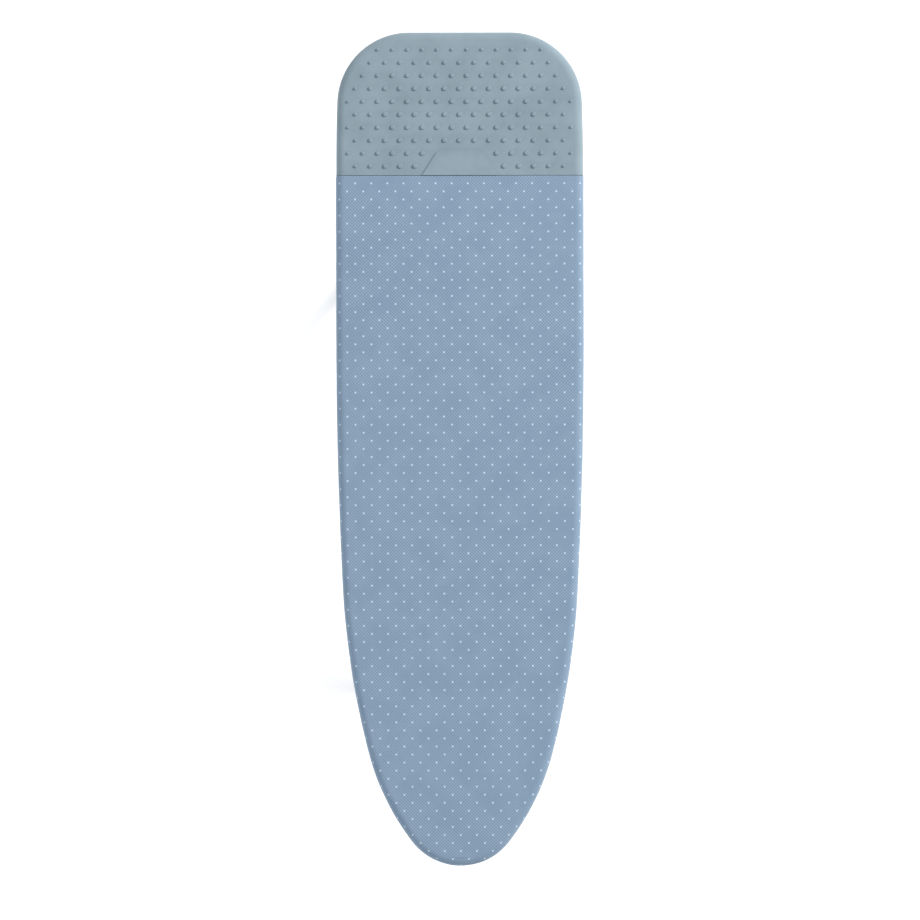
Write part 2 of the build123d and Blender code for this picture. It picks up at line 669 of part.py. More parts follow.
def lock_plate():
    """Notched steel plate above the axle: each notch is a working height, the last is for storage."""
    x0, x1 = RAIL_X0 + 6, RAIL_X1 - 6
    notches = [SLIDER_X - k * NOTCH_STEP for k in range(NOTCH_COUNT)] + [SLIDER_X_FOLDED]
    with BuildPart() as plate:
        with BuildSketch(Plane.XZ.offset(-PLATE_T / 2)):
            with Locations(((x0 + x1) / 2, PLATE_Z + PLATE_H / 2)):
                Rectangle(x1 - x0, PLATE_H)
            with Locations(*[(x, PLATE_Z) for x in notches]):
                Circle(AXLE_R + SLOT_CLEAR, mode=Mode.SUBTRACT)
            with Locations(*[(x, GUIDE_Z - LOCK_LIFT / 2) for x in guide_places()]):
                SlotOverall(LOCK_LIFT + 2 * GUIDE_R + 1, 2 * GUIDE_R + 0.8, rotation=90, mode=Mode.SUBTRACT)
            with Locations((LEVER_X, LEVER_Z)):
                Rectangle(LEVER_WIDTH + 4, LEVER_T + 1.4, mode=Mode.SUBTRACT)
        extrude(amount=PLATE_T)
    return plate.part


def lock_spring():
    """Coil spring that presses the lock plate down onto the axle."""
    with BuildPart() as spring:
        with BuildLine() as coil:
            Helix(SPRING_HEIGHT / SPRING_TURNS, SPRING_HEIGHT, SPRING_R,
                  center=(SPRING_X, 0, PLATE_Z + PLATE_H + SPRING_WIRE_R + LAYER_GAP))
        with BuildSketch(Plane(coil.line @ 0, z_dir=coil.line % 0)):
            Circle(SPRING_WIRE_R)
        sweep(path=coil.line)
    return spring.part


# ================================================================ release lever
def lever_bracket():
    """Folded bracket on the deck that carries the lever's pin."""
    half = LEVER_WIDTH / 2 + EAR_GAP
    with BuildPart() as bracket:
        with Locations((LEVER_X, LEVER_PIN_Y, FITTING_Z)):
            Box(2 * half + 26, 20, LEVER_EAR_T, align=(Align.CENTER, Align.CENTER, Align.MAX))
        for side in SIDES.values():
            with Locations((LEVER_X + side * (half + LEVER_EAR_T / 2), LEVER_PIN_Y, FITTING_Z)):
                ear = Box(LEVER_EAR_T, 14, FITTING_Z - LEVER_Z + 6,
                          align=(Align.CENTER, Align.CENTER, Align.MAX))
            fillet(ear.edges().filter_by(Axis.X).group_by(Axis.Z)[0], 5)
        with Locations(Location((LEVER_X, LEVER_PIN_Y, LEVER_Z), (0, 90, 0))):
            Cylinder(LEVER_PIN_R + RUNNING, 60, mode=Mode.SUBTRACT)
    return bracket.part


def lever_pin():
    """Headed pin along X through the bracket and the lever."""
    half = LEVER_WIDTH / 2 + EAR_GAP + LEVER_EAR_T
    with BuildPart() as pin:
        with BuildSketch(Plane(origin=(LEVER_X - half - 1.5, LEVER_PIN_Y, LEVER_Z), z_dir=(1, 0, 0))):
            Circle(LEVER_PIN_R)
        extrude(amount=2 * half + 1.6)
        with BuildSketch(Plane(origin=(LEVER_X + half + 0.1, LEVER_PIN_Y, LEVER_Z), z_dir=(1, 0, 0))):
            Circle(LEVER_PIN_R + 1.6)
        extrude(amount=1.8)
    return pin.part


def release_lever():
    """Steel strip from an eye on the pin, through the rail and the lock plate, down to the grip."""
    route = [(LEVER_PIN_Y, LEVER_Z), (LEVER_BEND_Y, LEVER_Z),
             (LEVER_BEND_Y + 10, GRIP_Z), (GRIP_Y + 12, GRIP_Z)]
    side_view = Plane(origin=(LEVER_X - LEVER_WIDTH / 2, 0, 0), x_dir=(0, 1, 0), z_dir=(1, 0, 0))
    with BuildPart() as lever:
        with BuildSketch(side_view):
            with BuildLine() as centre:
                FilletPolyline(*route, radius=5)
            trace(centre.line, LEVER_T)
            with Locations((LEVER_PIN_Y, LEVER_Z)):
                Circle(6)
                Circle(LEVER_PIN_R + RUNNING, mode=Mode.SUBTRACT)
        extrude(amount=LEVER_WIDTH)
    return lever.part


def lever_grip():
    """Moulded paddle on the lever's outer end."""
    length, depth, height = GRIP
    with BuildPart() as grip:
        with Locations((LEVER_X, GRIP_Y, GRIP_Z)):
            Box(length, depth, height)
        fillet(grip.edges().filter_by(Axis.Z), 14)
        fillet(grip.faces().sort_by(Axis.Z)[-1].edges(), 4)
        fillet(grip.faces().sort_by(Axis.Z)[0].edges(), 4)
        with Locations((LEVER_X, GRIP_Y + 12.2, GRIP_Z)):
            Box(LEVER_WIDTH + 0.2, 60, LEVER_T + 0.2, align=(Align.CENTER, Align.MAX, Align.CENTER),
                mode=Mode.SUBTRACT)
    return grip.part


# ================================================================ storage latch
def latch_post():
    """Shoulder screw below the deck on which the storage latch turns."""
    low = LATCH_Z - LATCH_HEAD_T - 0.3
    with BuildPart() as post:
        with Locations((LATCH_X, LATCH_Y, low)):
            head = Cylinder(6, LATCH_HEAD_T, align=(Align.CENTER, Align.CENTER, Align.MIN))
            Cylinder(LATCH_POST_R, FITTING_Z - low, align=(Align.CENTER, Align.CENTER, Align.MIN))
        fillet(head.faces().sort_by(Axis.Z)[0].edges(), 1)
        with Locations((LATCH_X, LATCH_Y, FITTING_Z)):
            Cylinder(9, 2, align=(Align.CENTER, Align.CENTER, Align.MAX))
    return post.part


def storage_latch():
    """Turn button: its blade swings under the folded outer leg and holds it up."""
    top = FITTING_Z - 4.7
    with BuildPart() as latch:
        with Locations((LATCH_X, LATCH_Y, LATCH_Z)):
            Cylinder(8, top - LATCH_Z, align=(Align.CENTER, Align.CENTER, Align.MIN))
        with BuildSketch(Plane.XY.offset(LATCH_Z)):
            with Locations((LATCH_X - 14, LATCH_Y)):
                SlotOverall(44, 14)
        extrude(amount=LATCH_BLADE_T)
        fillet(latch.faces().filter_by(Axis.Z).sort_by(Axis.Z)[0].edges(), 1.2)
        with Locations((LATCH_X, LATCH_Y, LATCH_Z)):
            Cylinder(LATCH_POST_R + RUNNING, 200, mode=Mode.SUBTRACT)
    return latch.part


# ================================================================ export
def main():
    os.makedirs("parts", exist_ok=True)
    pieces = {
        "cover": cover(), "cover_binding": cover_binding(), "foam_pad": foam_pad(),
        "felt_underlay": felt_underlay(), "iron_rest_mat": iron_rest_mat(), "rest_tray": rest_tray(),
        "rest_screws": rest_screws(), "deck": deck(), "bracket_rivets": bracket_rivets(),
        "height_rail": height_rail(), "rail_rivets": rail_rivets(), "guide_pins": guide_pins(),
        "rail_bumper_rear": rail_bumper(RAIL_X0 + 0.2),
        "rail_bumper_front": rail_bumper(RAIL_X1 - BUMPER_L - 0.2),
        "pivot_pins": pivot_pins(), "cross_bolts": cross_bolts(), "cross_washers": cross_washers(),
        "cross_nuts": cross_nuts(),
        "lock_plate": lock_plate(), "lock_spring": lock_spring(), "lever_bracket": lever_bracket(),
        "lever_pin": lever_pin(), "release_lever": release_lever(), "lever_grip": lever_grip(),
        "latch_post": latch_post(), "storage_latch": storage_latch(),
        "outer_foot_bar": foot_bar(OUTER_DIR, OUTER_BAR_HALF),
        "inner_foot_bar": foot_bar(INNER_DIR, INNER_BAR_HALF),
        "outer_leg_brace": leg_brace(OUTER_DIR, OUTER_BRACE_AT, OUTER_Y),
        "inner_leg_brace": leg_brace(INNER_DIR, INNER_BRACE_AT, INNER_Y),
        "slider_axle": slider_axle(),
    }
    for name, (x, half_length) in RIBS.items():
        pieces[f"{name}_rib"] = deck_rib(x, half_length)
    for name, side in SIDES.items():
        pieces[f"pivot_bracket_{name}"] = pivot_bracket(side)
        pieces[f"outer_leg_tube_{name}"] = leg_tube(OUTER_DIR, side * OUTER_Y, PIN_R + RUNNING)
        pieces[f"inner_leg_tube_{name}"] = leg_tube(INNER_DIR, side * INNER_Y, AXLE_R + RUNNING)
        pieces[f"outer_leg_plug_{name}"] = leg_plug(OUTER_DIR, side * OUTER_Y, PIN_R + RUNNING)
        pieces[f"inner_leg_plug_{name}"] = leg_plug(INNER_DIR, side * INNER_Y, AXLE_R + RUNNING)
        pieces[f"outer_foot_cap_{name}"] = foot_cap(OUTER_DIR, side, OUTER_BAR_HALF)
        pieces[f"inner_foot_cap_{name}"] = foot_cap(INNER_DIR, side, INNER_BAR_HALF)
        pieces[f"cross_spacer_{name}"] = cross_spacer(side)
        pieces[f"axle_cap_{name}"] = axle_cap(side)
        pieces[f"slider_block_{name}"] = slider_block(side)
    for name, piece in pieces.items():
        save(piece, name)
    print(len(pieces), "pieces, leg angle", round(LEG_ANGLE, 3), "rail", RAIL_X0, RAIL_X1)


main()
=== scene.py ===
"""Looks for the full-size ironing board: cover, binding, foam, felt, lock spring, weld beads, every material.

Metres, in the row frame: +X from the square end to the nose, +Y to the release lever's side, +Z up.
"""

import json
from math import cos, pi, radians, sin, sqrt, tau

import bmesh
import bpy
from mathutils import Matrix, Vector, noise


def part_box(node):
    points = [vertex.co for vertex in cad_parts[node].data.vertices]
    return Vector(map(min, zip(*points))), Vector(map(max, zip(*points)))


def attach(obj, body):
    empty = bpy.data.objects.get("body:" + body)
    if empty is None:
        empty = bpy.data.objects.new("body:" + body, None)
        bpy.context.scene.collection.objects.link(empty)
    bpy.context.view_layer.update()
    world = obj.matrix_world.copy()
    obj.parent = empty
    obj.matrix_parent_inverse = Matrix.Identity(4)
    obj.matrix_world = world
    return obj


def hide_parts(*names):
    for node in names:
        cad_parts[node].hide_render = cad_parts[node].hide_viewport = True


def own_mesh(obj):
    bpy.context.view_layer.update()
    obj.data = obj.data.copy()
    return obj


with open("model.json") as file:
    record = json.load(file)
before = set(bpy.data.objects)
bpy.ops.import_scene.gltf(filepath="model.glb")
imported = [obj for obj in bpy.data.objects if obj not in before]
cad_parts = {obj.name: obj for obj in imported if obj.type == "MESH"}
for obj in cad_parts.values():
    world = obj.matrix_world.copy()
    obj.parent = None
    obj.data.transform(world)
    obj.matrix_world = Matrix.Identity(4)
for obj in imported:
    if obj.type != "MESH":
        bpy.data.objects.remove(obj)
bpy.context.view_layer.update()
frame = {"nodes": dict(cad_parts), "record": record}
MM = 0.001
MERGE_DISTANCE = 0.001 * MM

# ---------------------------------------------------------------- places, read from the frame
COVER_LOW, COVER_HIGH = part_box("cover")
FOAM_LOW, FOAM_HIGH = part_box("foam_pad")
FELT_LOW, FELT_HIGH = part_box("felt_underlay")
TOP_Z = COVER_HIGH.z
X_SEAM, X_NOSE = COVER_LOW.x, COVER_HIGH.x
HALF_WIDTH = COVER_HIGH.y
COVER_DEPTH = TOP_Z - COVER_LOW.z

# ---------------------------------------------------------------- the board's outline
NOSE_ARCS = [(91.1 * MM, 52.3), (371.4 * MM, 23.1), (1240.0 * MM, 11.8)]   # radius and turn, from the tip


def outline_pieces():
    """The half outline from the nose tip to the seam, as arcs and a straight side."""
    turned = sum(turn for _, turn in NOSE_ARCS)
    width, heading = 0.0, 0.0
    for radius, turn in NOSE_ARCS:
        width += radius * (sin(radians(heading + turn)) - sin(radians(heading)))
        heading += turn
    side_radius = (HALF_WIDTH - width) / (1 - sin(radians(turned)))
    pieces, at, heading = [], Vector((X_NOSE, 0)), 0.0
    for radius, turn in NOSE_ARCS + [(side_radius, 90 - turned)]:
        out = Vector((cos(radians(heading)), sin(radians(heading))))
        centre = at - radius * out
        pieces.append((radius * radians(turn), centre, radius, heading))
        heading += turn
        at = centre + radius * Vector((cos(radians(heading)), sin(radians(heading))))
    pieces.append((at.x - X_SEAM, at, None, 90.0))
    return pieces


OUTLINE = outline_pieces()
HALF_LENGTH = sum(piece[0] for piece in OUTLINE)


def outline(s):
    """Point and outward direction at the distance s from the nose tip, on the +Y side."""
    for length, place, radius, heading in OUTLINE:
        if s <= length or radius is None:
            break
        s -= length
    if radius is None:
        return place - Vector((s, 0)), Vector((0, 1))
    angle = radians(heading) + s / radius
    out = Vector((cos(angle), sin(angle)))
    return place + radius * out, out


def stations(step, x_from):
    """Distances from the nose tip to x_from along the outline, evenly spaced."""
    total = HALF_LENGTH - (x_from - X_SEAM)
    count = round(total / step)
    return [total * i / count for i in range(count + 1)]


# ---------------------------------------------------------------- mesh helpers
def make_object(name, vertices, faces, material):
    """Smooth mesh object in the scene, with one material."""
    mesh = bpy.data.meshes.new(name)
    mesh.from_pydata(vertices, [], faces)
    mesh.validate()
    mesh.shade_smooth()
    obj = bpy.data.objects.new(name, mesh)
    bpy.context.scene.collection.objects.link(obj)
    obj.data.materials.append(material)
    return obj


def grid_faces(rows, columns, closed=False, flip=False):
    """Quads of a grid of vertices, stored row by row."""
    faces = []
    for i in range(rows - 1):
        for j in range(columns if closed else columns - 1):
            a = i * columns + j
            b = i * columns + (j + 1) % columns
            quad = (a, b, b + columns, a + columns)
            faces.append(quad[::-1] if flip else quad)
    return faces


def tube_faces(ring_count, ring_size):
    """Quads round a tube of rings, and a flat cap on each end."""
    last = (ring_count - 1) * ring_size
    caps = [tuple(range(ring_size)), tuple(range(last, last + ring_size))]
    return grid_faces(ring_count, ring_size, closed=True) + caps


def merge_close(obj):
    """Joins vertices that fall together, as on the nose's last rung."""
    bm = bmesh.new()
    bm.from_mesh(obj.data)
    bmesh.ops.remove_doubles(bm, verts=bm.verts, dist=MERGE_DISTANCE)
    bmesh.ops.recalc_face_normals(bm, faces=bm.faces)
    bm.to_mesh(obj.data)
    bm.free()
    obj.data.shade_smooth()


# ---------------------------------------------------------------- shader helpers
class Nodes:
    """A material's node tree, with one call per node."""

    def __init__(self, name):
        self.material = bpy.data.materials.new(name)
        self.material.use_nodes = True
        self.tree = self.material.node_tree
        self.shader = self.tree.nodes["Principled BSDF"]

    def add(self, kind, settings=(), **inputs):
        node = self.tree.nodes.new(kind)
        for key, value in dict(settings).items():
            setattr(node, key, value)
        for key, value in inputs.items():
            self.put(node, key.replace("_", " "), value)
        return node

    def put(self, node, socket, value):
        target = node.inputs[int(socket) if socket.isdigit() else socket]
        if isinstance(value, bpy.types.NodeSocket):
            self.tree.links.new(value, target)
        else:
            target.default_value = value

    def math(self, operation, a, b=0.0, c=0.0):
        node = self.add("ShaderNodeMath", {"operation": operation})
        for socket, value in zip("012", (a, b, c)):
            self.put(node, socket, value)
        return node.outputs[0]

    def mix(self, factor, a, b):
        node = self.add("ShaderNodeMix", {"data_type": "RGBA"})
        for socket, value in (("0", factor), ("6", a), ("7", b)):
            self.put(node, socket, value)
        return node.outputs[2]

    def ramp(self, value, low, high, to_low=0.0, to_high=1.0):
        """Smooth change from to_low to to_high as the value goes from low to high."""
        node = self.add("ShaderNodeMapRange", {"interpolation_type": "SMOOTHSTEP"}, Value=value)
        for socket, number in zip("1234", (low, high, to_low, to_high)):
            self.put(node, socket, number)
        return node.outputs[0]

    def noise(self, vector, scale, detail=3.0, roughness=0.55):
        node = self.add("ShaderNodeTexNoise", Vector=vector, Scale=scale, Detail=detail, Roughness=roughness)
        return node.outputs["Fac"]

    def position(self):
        """Where a point is in the row frame."""
        return self.add("ShaderNodeTexCoord").outputs["Object"]

    def attribute(self, name):
        return self.add("ShaderNodeAttribute", {"attribute_name": name}).outputs["Vector"]

    def split(self, vector):
        return self.add("ShaderNodeSeparateXYZ", Vector=vector).outputs

    def bump(self, height, strength, distance, normal=None):
        node = self.add("ShaderNodeBump", Height=height, Strength=strength, Distance=distance)
        if normal is not None:
            self.put(node, "Normal", normal)
        return node.outputs[0]

    def surface(self, **inputs):
        for key, value in inputs.items():
            self.put(self.shader, key.replace("_", " "), value)
        return self.material


def colour(red, green, blue):
    """Shader colour of a screen colour given as three numbers up to 255."""
    def linear(value):
        value /= 255
        return value / 12.92 if value <= 0.04045 else ((value + 0.055) / 1.055) ** 2.4
    return linear(red), linear(green), linear(blue), 1.0


# ---------------------------------------------------------------- materials
DOT_PITCH = 24.05 * MM
DOT_ROW_X = X_SEAM + 11.15 * MM      # first row of dots past the seam
DOT_RADIUS = 1.25 * MM
DOT_BLUR, DOT_RAGGED = 0.9 * MM, 0.5 * MM
UNPRINTED = 3.0 * MM                 # no dots this close to the seam
CHECK_PITCH = DOT_PITCH / 5
THREAD_PITCH = 0.62 * MM
RIB_PITCH, CROSS_PITCH = 0.55 * MM, 0.9 * MM     # the tape's ribs and its cross threads
STITCH_PITCH = 3.0 * MM
STITCH_ACROSS = -1.9 * MM            # the stitch line's place on the tape, on its lower face
STITCH_INNER, STITCH_OUTER = 0.20 * MM, 0.34 * MM            # where a stitch fades, across the tape
DASH_INNER, DASH_OUTER = 0.36 * STITCH_PITCH, 0.44 * STITCH_PITCH    # and along it

GROUND_DARK, GROUND_LIGHT, GROUND_WORN = colour(122, 146, 169), colour(147, 168, 190), colour(146, 166, 186)
DOT_COLOUR = colour(200, 219, 238)
# the tape's dark tone is painted shade for the grooves between its ribs
TAPE_GROOVE_SHADE, TAPE_LIGHT, TAPE_PATCH = colour(88, 106, 124), colour(122, 142, 162), colour(98, 114, 130)
STITCH_COLOUR = colour(186, 202, 218)
FELT_DARK, FELT_LIGHT, FELT_FIBRE = colour(196, 192, 184), colour(214, 211, 205), colour(150, 147, 142)
# the foam's darker cell tone is painted shade for the hollows of its cells
FOAM_HOLLOW_SHADE, FOAM_WALL, FOAM_AGED = colour(206, 196, 160), colour(238, 232, 208), colour(226, 212, 168)
SILICONE_DARK, SILICONE_LIGHT = colour(137, 155, 165), colour(145, 163, 173)
SILICONE_PIT = colour(120, 138, 148)
COAT_DARK, COAT_LIGHT = colour(158, 167, 176), colour(168, 177, 185)
COAT_SPECK, COAT_RUBBED = colour(132, 141, 150), colour(186, 193, 199)
ZINC_DARK, ZINC_LIGHT, ZINC_DULL = colour(196, 199, 203), colour(214, 216, 219), colour(164, 166, 168)
MOULDING_GREY, GRIP_BLUE, FOOT_BLACK = colour(104, 122, 138), colour(128, 150, 170), colour(58, 66, 74)


def cover_cloth():
    """Printed cotton: a fine lozenge check, light dots in staggered rows, and the weave's own threads."""
    n = Nodes("printed_cotton")
    flat = n.attribute("flat_cloth")
    x, y, _ = n.split(flat)

    def wave(value, pitch, phase=0.0):
        turns = n.math("MULTIPLY_ADD", value, tau / pitch, phase)
        return n.math("COSINE", turns)

    check = n.math("MULTIPLY", wave(x, CHECK_PITCH), wave(y, CHECK_PITCH))
    strength = n.ramp(n.noise(flat, 22.0, 2.0), 0.35, 0.65, 0.55, 1.0)
    check = n.math("MULTIPLY", n.ramp(check, -0.22, 0.22), strength)

    def dots(x_shift, y_shift):
        """Distance to the nearest dot of one set of rows."""
        across = n.math("ADD", y, y_shift)
        along = n.math("ADD", x, x_shift)
        cell_y = n.math("WRAP", across, DOT_PITCH / 2, -DOT_PITCH / 2)
        cell_x = n.math("WRAP", along, DOT_PITCH / 2, -DOT_PITCH / 2)
        squares = n.math("MULTIPLY", cell_x, cell_x), n.math("MULTIPLY", cell_y, cell_y)
        return n.math("SQRT", n.math("ADD", *squares))

    nearest = n.math("MINIMUM", dots(-DOT_ROW_X, DOT_PITCH / 2), dots(-DOT_ROW_X - DOT_PITCH / 2, 0.0))
    ragged = n.math("MULTIPLY_ADD", n.noise(flat, 900.0, 1.0), DOT_RAGGED, nearest)
    dot = n.ramp(ragged, DOT_RADIUS, DOT_RADIUS + DOT_BLUR, 1.0, 0.0)
    dot = n.math("MULTIPLY", dot, n.math("GREATER_THAN", x, X_SEAM + UNPRINTED))

    warp = n.math("ABSOLUTE", wave(x, 2 * THREAD_PITCH))
    weft = n.math("ABSOLUTE", wave(y, 2 * THREAD_PITCH))
    over = n.math("MULTIPLY", wave(x, 4 * THREAD_PITCH), wave(y, 4 * THREAD_PITCH))
    threads = n.math("MULTIPLY_ADD", over, 0.25, n.math("MULTIPLY", warp, weft))
    slub = n.noise(flat, 260.0, 4.0, 0.7)

    ground = n.mix(check, GROUND_DARK, GROUND_LIGHT)
    ground = n.mix(n.ramp(slub, 0.3, 0.7, 0.0, 0.10), ground, GROUND_LIGHT)
    wear = n.ramp(n.noise(flat, 3.5, 3.0), 0.4, 0.75, 0.0, 0.10)
    ground = n.mix(wear, ground, GROUND_WORN)
    base = n.mix(dot, ground, DOT_COLOUR)
    fuzz = n.math("MULTIPLY_ADD", slub, 0.5, threads)
    puckers = n.bump(n.noise(flat, 14.0, 2.0), 0.25, 0.8 * MM)
    return n.surface(
        Base_Color=base, Roughness=0.93, Specular_IOR_Level=0.18, Sheen_Weight=0.34, Sheen_Roughness=0.5,
        Normal=n.bump(fuzz, 0.35, 0.12 * MM, puckers),
    )


def elastic_tape():
    """Ribbed elastic tape, with painted shade in the grooves between its ribs and a row of lockstitches along
    it; flat_cloth holds (along, across).
    """
    n = Nodes("elastic_tape")
    flat = n.attribute("flat_cloth")
    along, across, _ = n.split(flat)
    rib = n.math("ABSOLUTE", n.math("SINE", n.math("MULTIPLY", across, pi / RIB_PITCH)))
    cross = n.math("ABSOLUTE", n.math("SINE", n.math("MULTIPLY", along, pi / CROSS_PITCH)))
    weave = n.math("MULTIPLY_ADD", cross, 0.5, rib)
    # painted shade: the tape is coloured darker where the ribs' bump is low, in the grooves
    shade = n.mix(n.ramp(weave, 0.0, 1.4), TAPE_GROOVE_SHADE, TAPE_LIGHT)
    shade = n.mix(n.ramp(n.noise(flat, 60.0), 0.35, 0.7, 0.0, 0.3), shade, TAPE_PATCH)
    dash = n.math("ABSOLUTE", n.math("WRAP", along, STITCH_PITCH / 2, -STITCH_PITCH / 2))
    off_line = n.math("ABSOLUTE", n.math("SUBTRACT", across, STITCH_ACROSS))
    stitch = n.math("MULTIPLY", n.ramp(off_line, STITCH_INNER, STITCH_OUTER, 1.0, 0.0),
                    n.ramp(dash, DASH_INNER, DASH_OUTER, 1.0, 0.0))
    shade = n.mix(stitch, shade, STITCH_COLOUR)
    raised = n.math("MULTIPLY_ADD", stitch, 2.0, weave)
    return n.surface(Base_Color=shade, Roughness=0.95, Specular_IOR_Level=0.2, Sheen_Weight=0.2,
                     Normal=n.bump(raised, 0.5, 0.25 * MM))


def felt():
    """Needled felt: tangled fibres and slightly uneven tone."""
    n = Nodes("needled_felt")
    at = n.position()
    fibres = n.noise(at, 900.0, 5.0, 0.75)
    patches = n.noise(at, 45.0, 3.0)
    tone = n.mix(n.ramp(patches, 0.35, 0.7), FELT_DARK, FELT_LIGHT)
    tone = n.mix(n.ramp(fibres, 0.45, 0.8, 0.0, 0.5), tone, FELT_FIBRE)
    return n.surface(Base_Color=tone, Roughness=1.0, Specular_IOR_Level=0.1, Sheen_Weight=0.4,
                     Normal=n.bump(fibres, 0.7, 0.5 * MM))


def foam():
    """Open-cell foam, yellowed in patches, with painted shade in the hollows of its cells."""
    n = Nodes("open_cell_foam")
    at = n.position()
    cells = n.add("ShaderNodeTexVoronoi", {"feature": "F1"}, Vector=at, Scale=700.0).outputs["Distance"]
    # painted shade: the cells' hollows, low in the bump, are coloured darker than their walls
    tone = n.mix(n.ramp(cells, 0.0, 0.6), FOAM_HOLLOW_SHADE, FOAM_WALL)
    tone = n.mix(n.ramp(n.noise(at, 12.0), 0.4, 0.7, 0.0, 0.3), tone, FOAM_AGED)
    return n.surface(Base_Color=tone, Roughness=0.95, Specular_IOR_Level=0.15,
                     Normal=n.bump(cells, 0.6, 0.6 * MM))


def silicone():
    """Matt moulded silicone with a fine eroded grain."""
    n = Nodes("matt_silicone")
    at = n.position()
    grain = n.noise(at, 1400.0, 3.0, 0.6)
    clouds = n.noise(at, 26.0, 4.0)
    tone = n.mix(n.ramp(clouds, 0.3, 0.7), SILICONE_DARK, SILICONE_LIGHT)
    tone = n.mix(n.ramp(grain, 0.3, 0.75, 0.0, 0.16), tone, SILICONE_PIT)
    return n.surface(
        Base_Color=tone, Roughness=n.ramp(grain, 0.2, 0.8, 0.64, 0.80), Specular_IOR_Level=0.26,
        Subsurface_Weight=0.06, Subsurface_Radius=(0.004, 0.004, 0.005), Sheen_Weight=0.14,
        Normal=n.bump(grain, 0.30, 0.12 * MM),
    )


def moulded(name, tint, grain_scale=900.0, roughness=0.55, strength=0.35):
    """Injection-moulded plastic or rubber with a spark-eroded grain, paler scuffs and faint flow marks."""
    n = Nodes(name)
    at = n.position()
    grain = n.noise(at, grain_scale, 4.0, 0.6)
    scuffs = n.ramp(n.noise(at, 70.0, 5.0, 0.7), 0.55, 0.8, 0.0, 0.35)
    pale = tuple(min(1.0, 1.6 * c + 0.02) for c in tint[:3]) + (1,)
    flow = n.ramp(n.noise(at, 18.0, 2.0), 0.35, 0.7, 0.0, 0.18)
    tone = n.mix(n.math("MAXIMUM", scuffs, flow), tint, pale)
    return n.surface(Base_Color=tone, Roughness=n.ramp(grain, 0.2, 0.8, roughness - 0.08, roughness + 0.12),
                     Specular_IOR_Level=0.45, Normal=n.bump(grain, strength, 0.15 * MM))


def powder_coat():
    """Satin powder coat: orange peel, specks, a faint drift of tone and a few rubbed, duller patches."""
    n = Nodes("satin_powder_coat")
    at = n.position()
    peel = n.noise(at, 420.0, 2.0, 0.5)
    tone = n.mix(n.ramp(n.noise(at, 6.0, 3.0), 0.35, 0.7), COAT_DARK, COAT_LIGHT)
    specks = n.ramp(n.noise(at, 1600.0, 2.0, 0.8), 0.62, 0.75, 0.0, 0.35)
    tone = n.mix(specks, tone, COAT_SPECK)
    rubbed = n.ramp(n.noise(at, 38.0, 5.0, 0.7), 0.58, 0.78)
    tone = n.mix(n.math("MULTIPLY", rubbed, 0.25), tone, COAT_RUBBED)
    rough = n.math("MULTIPLY_ADD", rubbed, 0.12, n.ramp(peel, 0.2, 0.8, 0.30, 0.44))
    return n.surface(Base_Color=tone, Specular_IOR_Level=0.5, Roughness=rough, Coat_Weight=0.15,
                     Coat_Roughness=0.25, Normal=n.bump(peel, 0.18, 0.2 * MM))


def zinc_plate():
    """Bright zinc over drawn steel: fine lines, faint spangle, dull spots."""
    n = Nodes("bright_zinc")
    at = n.position()
    x, y, z = n.split(at)
    stretched = n.add("ShaderNodeCombineXYZ", X=n.math("MULTIPLY", x, 0.08), Y=y, Z=z).outputs[0]
    lines = n.noise(stretched, 2600.0, 3.0, 0.6)
    spangle = n.add("ShaderNodeTexVoronoi", Vector=at, Scale=260.0).outputs["Distance"]
    tone = n.mix(n.ramp(spangle, 0.1, 0.7), ZINC_DARK, ZINC_LIGHT)
    dull = n.ramp(n.noise(at, 55.0, 5.0, 0.7), 0.5, 0.75)
    tone = n.mix(n.math("MULTIPLY", dull, 0.5), tone, ZINC_DULL)
    return n.surface(Base_Color=tone, Metallic=0.95, Roughness=n.math("MULTIPLY_ADD", dull, 0.22, 0.27),
                     Normal=n.bump(lines, 0.15, 0.06 * MM))


# ---------------------------------------------------------------- cover
CLOTH_T = 0.7 * MM
EDGE_ROUND = 13.0 * MM          # how far in the padded edge starts to fall
EDGE_DROP = 12.0 * MM
UNDER_ROUND = 5.0 * MM
HEM_WIDTH = 28.0 * MM
COVER_STEP = 2.2 * MM           # between stations along the edge
RUNG_COUNT = 40                 # quads across the top
FOLD_RADIUS = 0.9 * MM
FOLD_REACH = 1.2 * MM           # how far the fold bulges towards the iron rest
FOLD_BACK = 14.0 * MM
ARC_STEPS, UNDER_STEPS, HEM_STEPS = 9, 4, 8     # points round the edge, round its foot and along the hem
FOLD_STEPS, BACK_STEPS = 8, 3                   # points round the fold and along the part laid back
TOP_SINK = 0.25 * MM            # the cloth's mean height, under the top of its box
SWELLS = ((0.35 * MM, 9, 3.1), (0.12 * MM, 31, 7.7))    # height, scale and place in the noise
EDGE_RIPPLE = 0.25 * MM
HEM_PULL = 0.78 * MM            # how far the elastic lifts the hem's end
PLEAT_PITCH = 13.0 * MM
PLEAT_WANDER = 5.0              # how far the pleats stray from an even spacing, in radians
PLEAT_MEAN, PLEAT_VARIES = 0.55, 0.45           # a pleat's depth, and how much it varies
PLEAT_LIFT, PLEAT_SLIP = 1.1, 0.6               # shares of a pleat's lift and slip that the cloth takes
NOSE_GATHER, NOSE_REACH = 1.4, 0.42             # pleats are this much deeper at the tip, and fade over 0.42 m


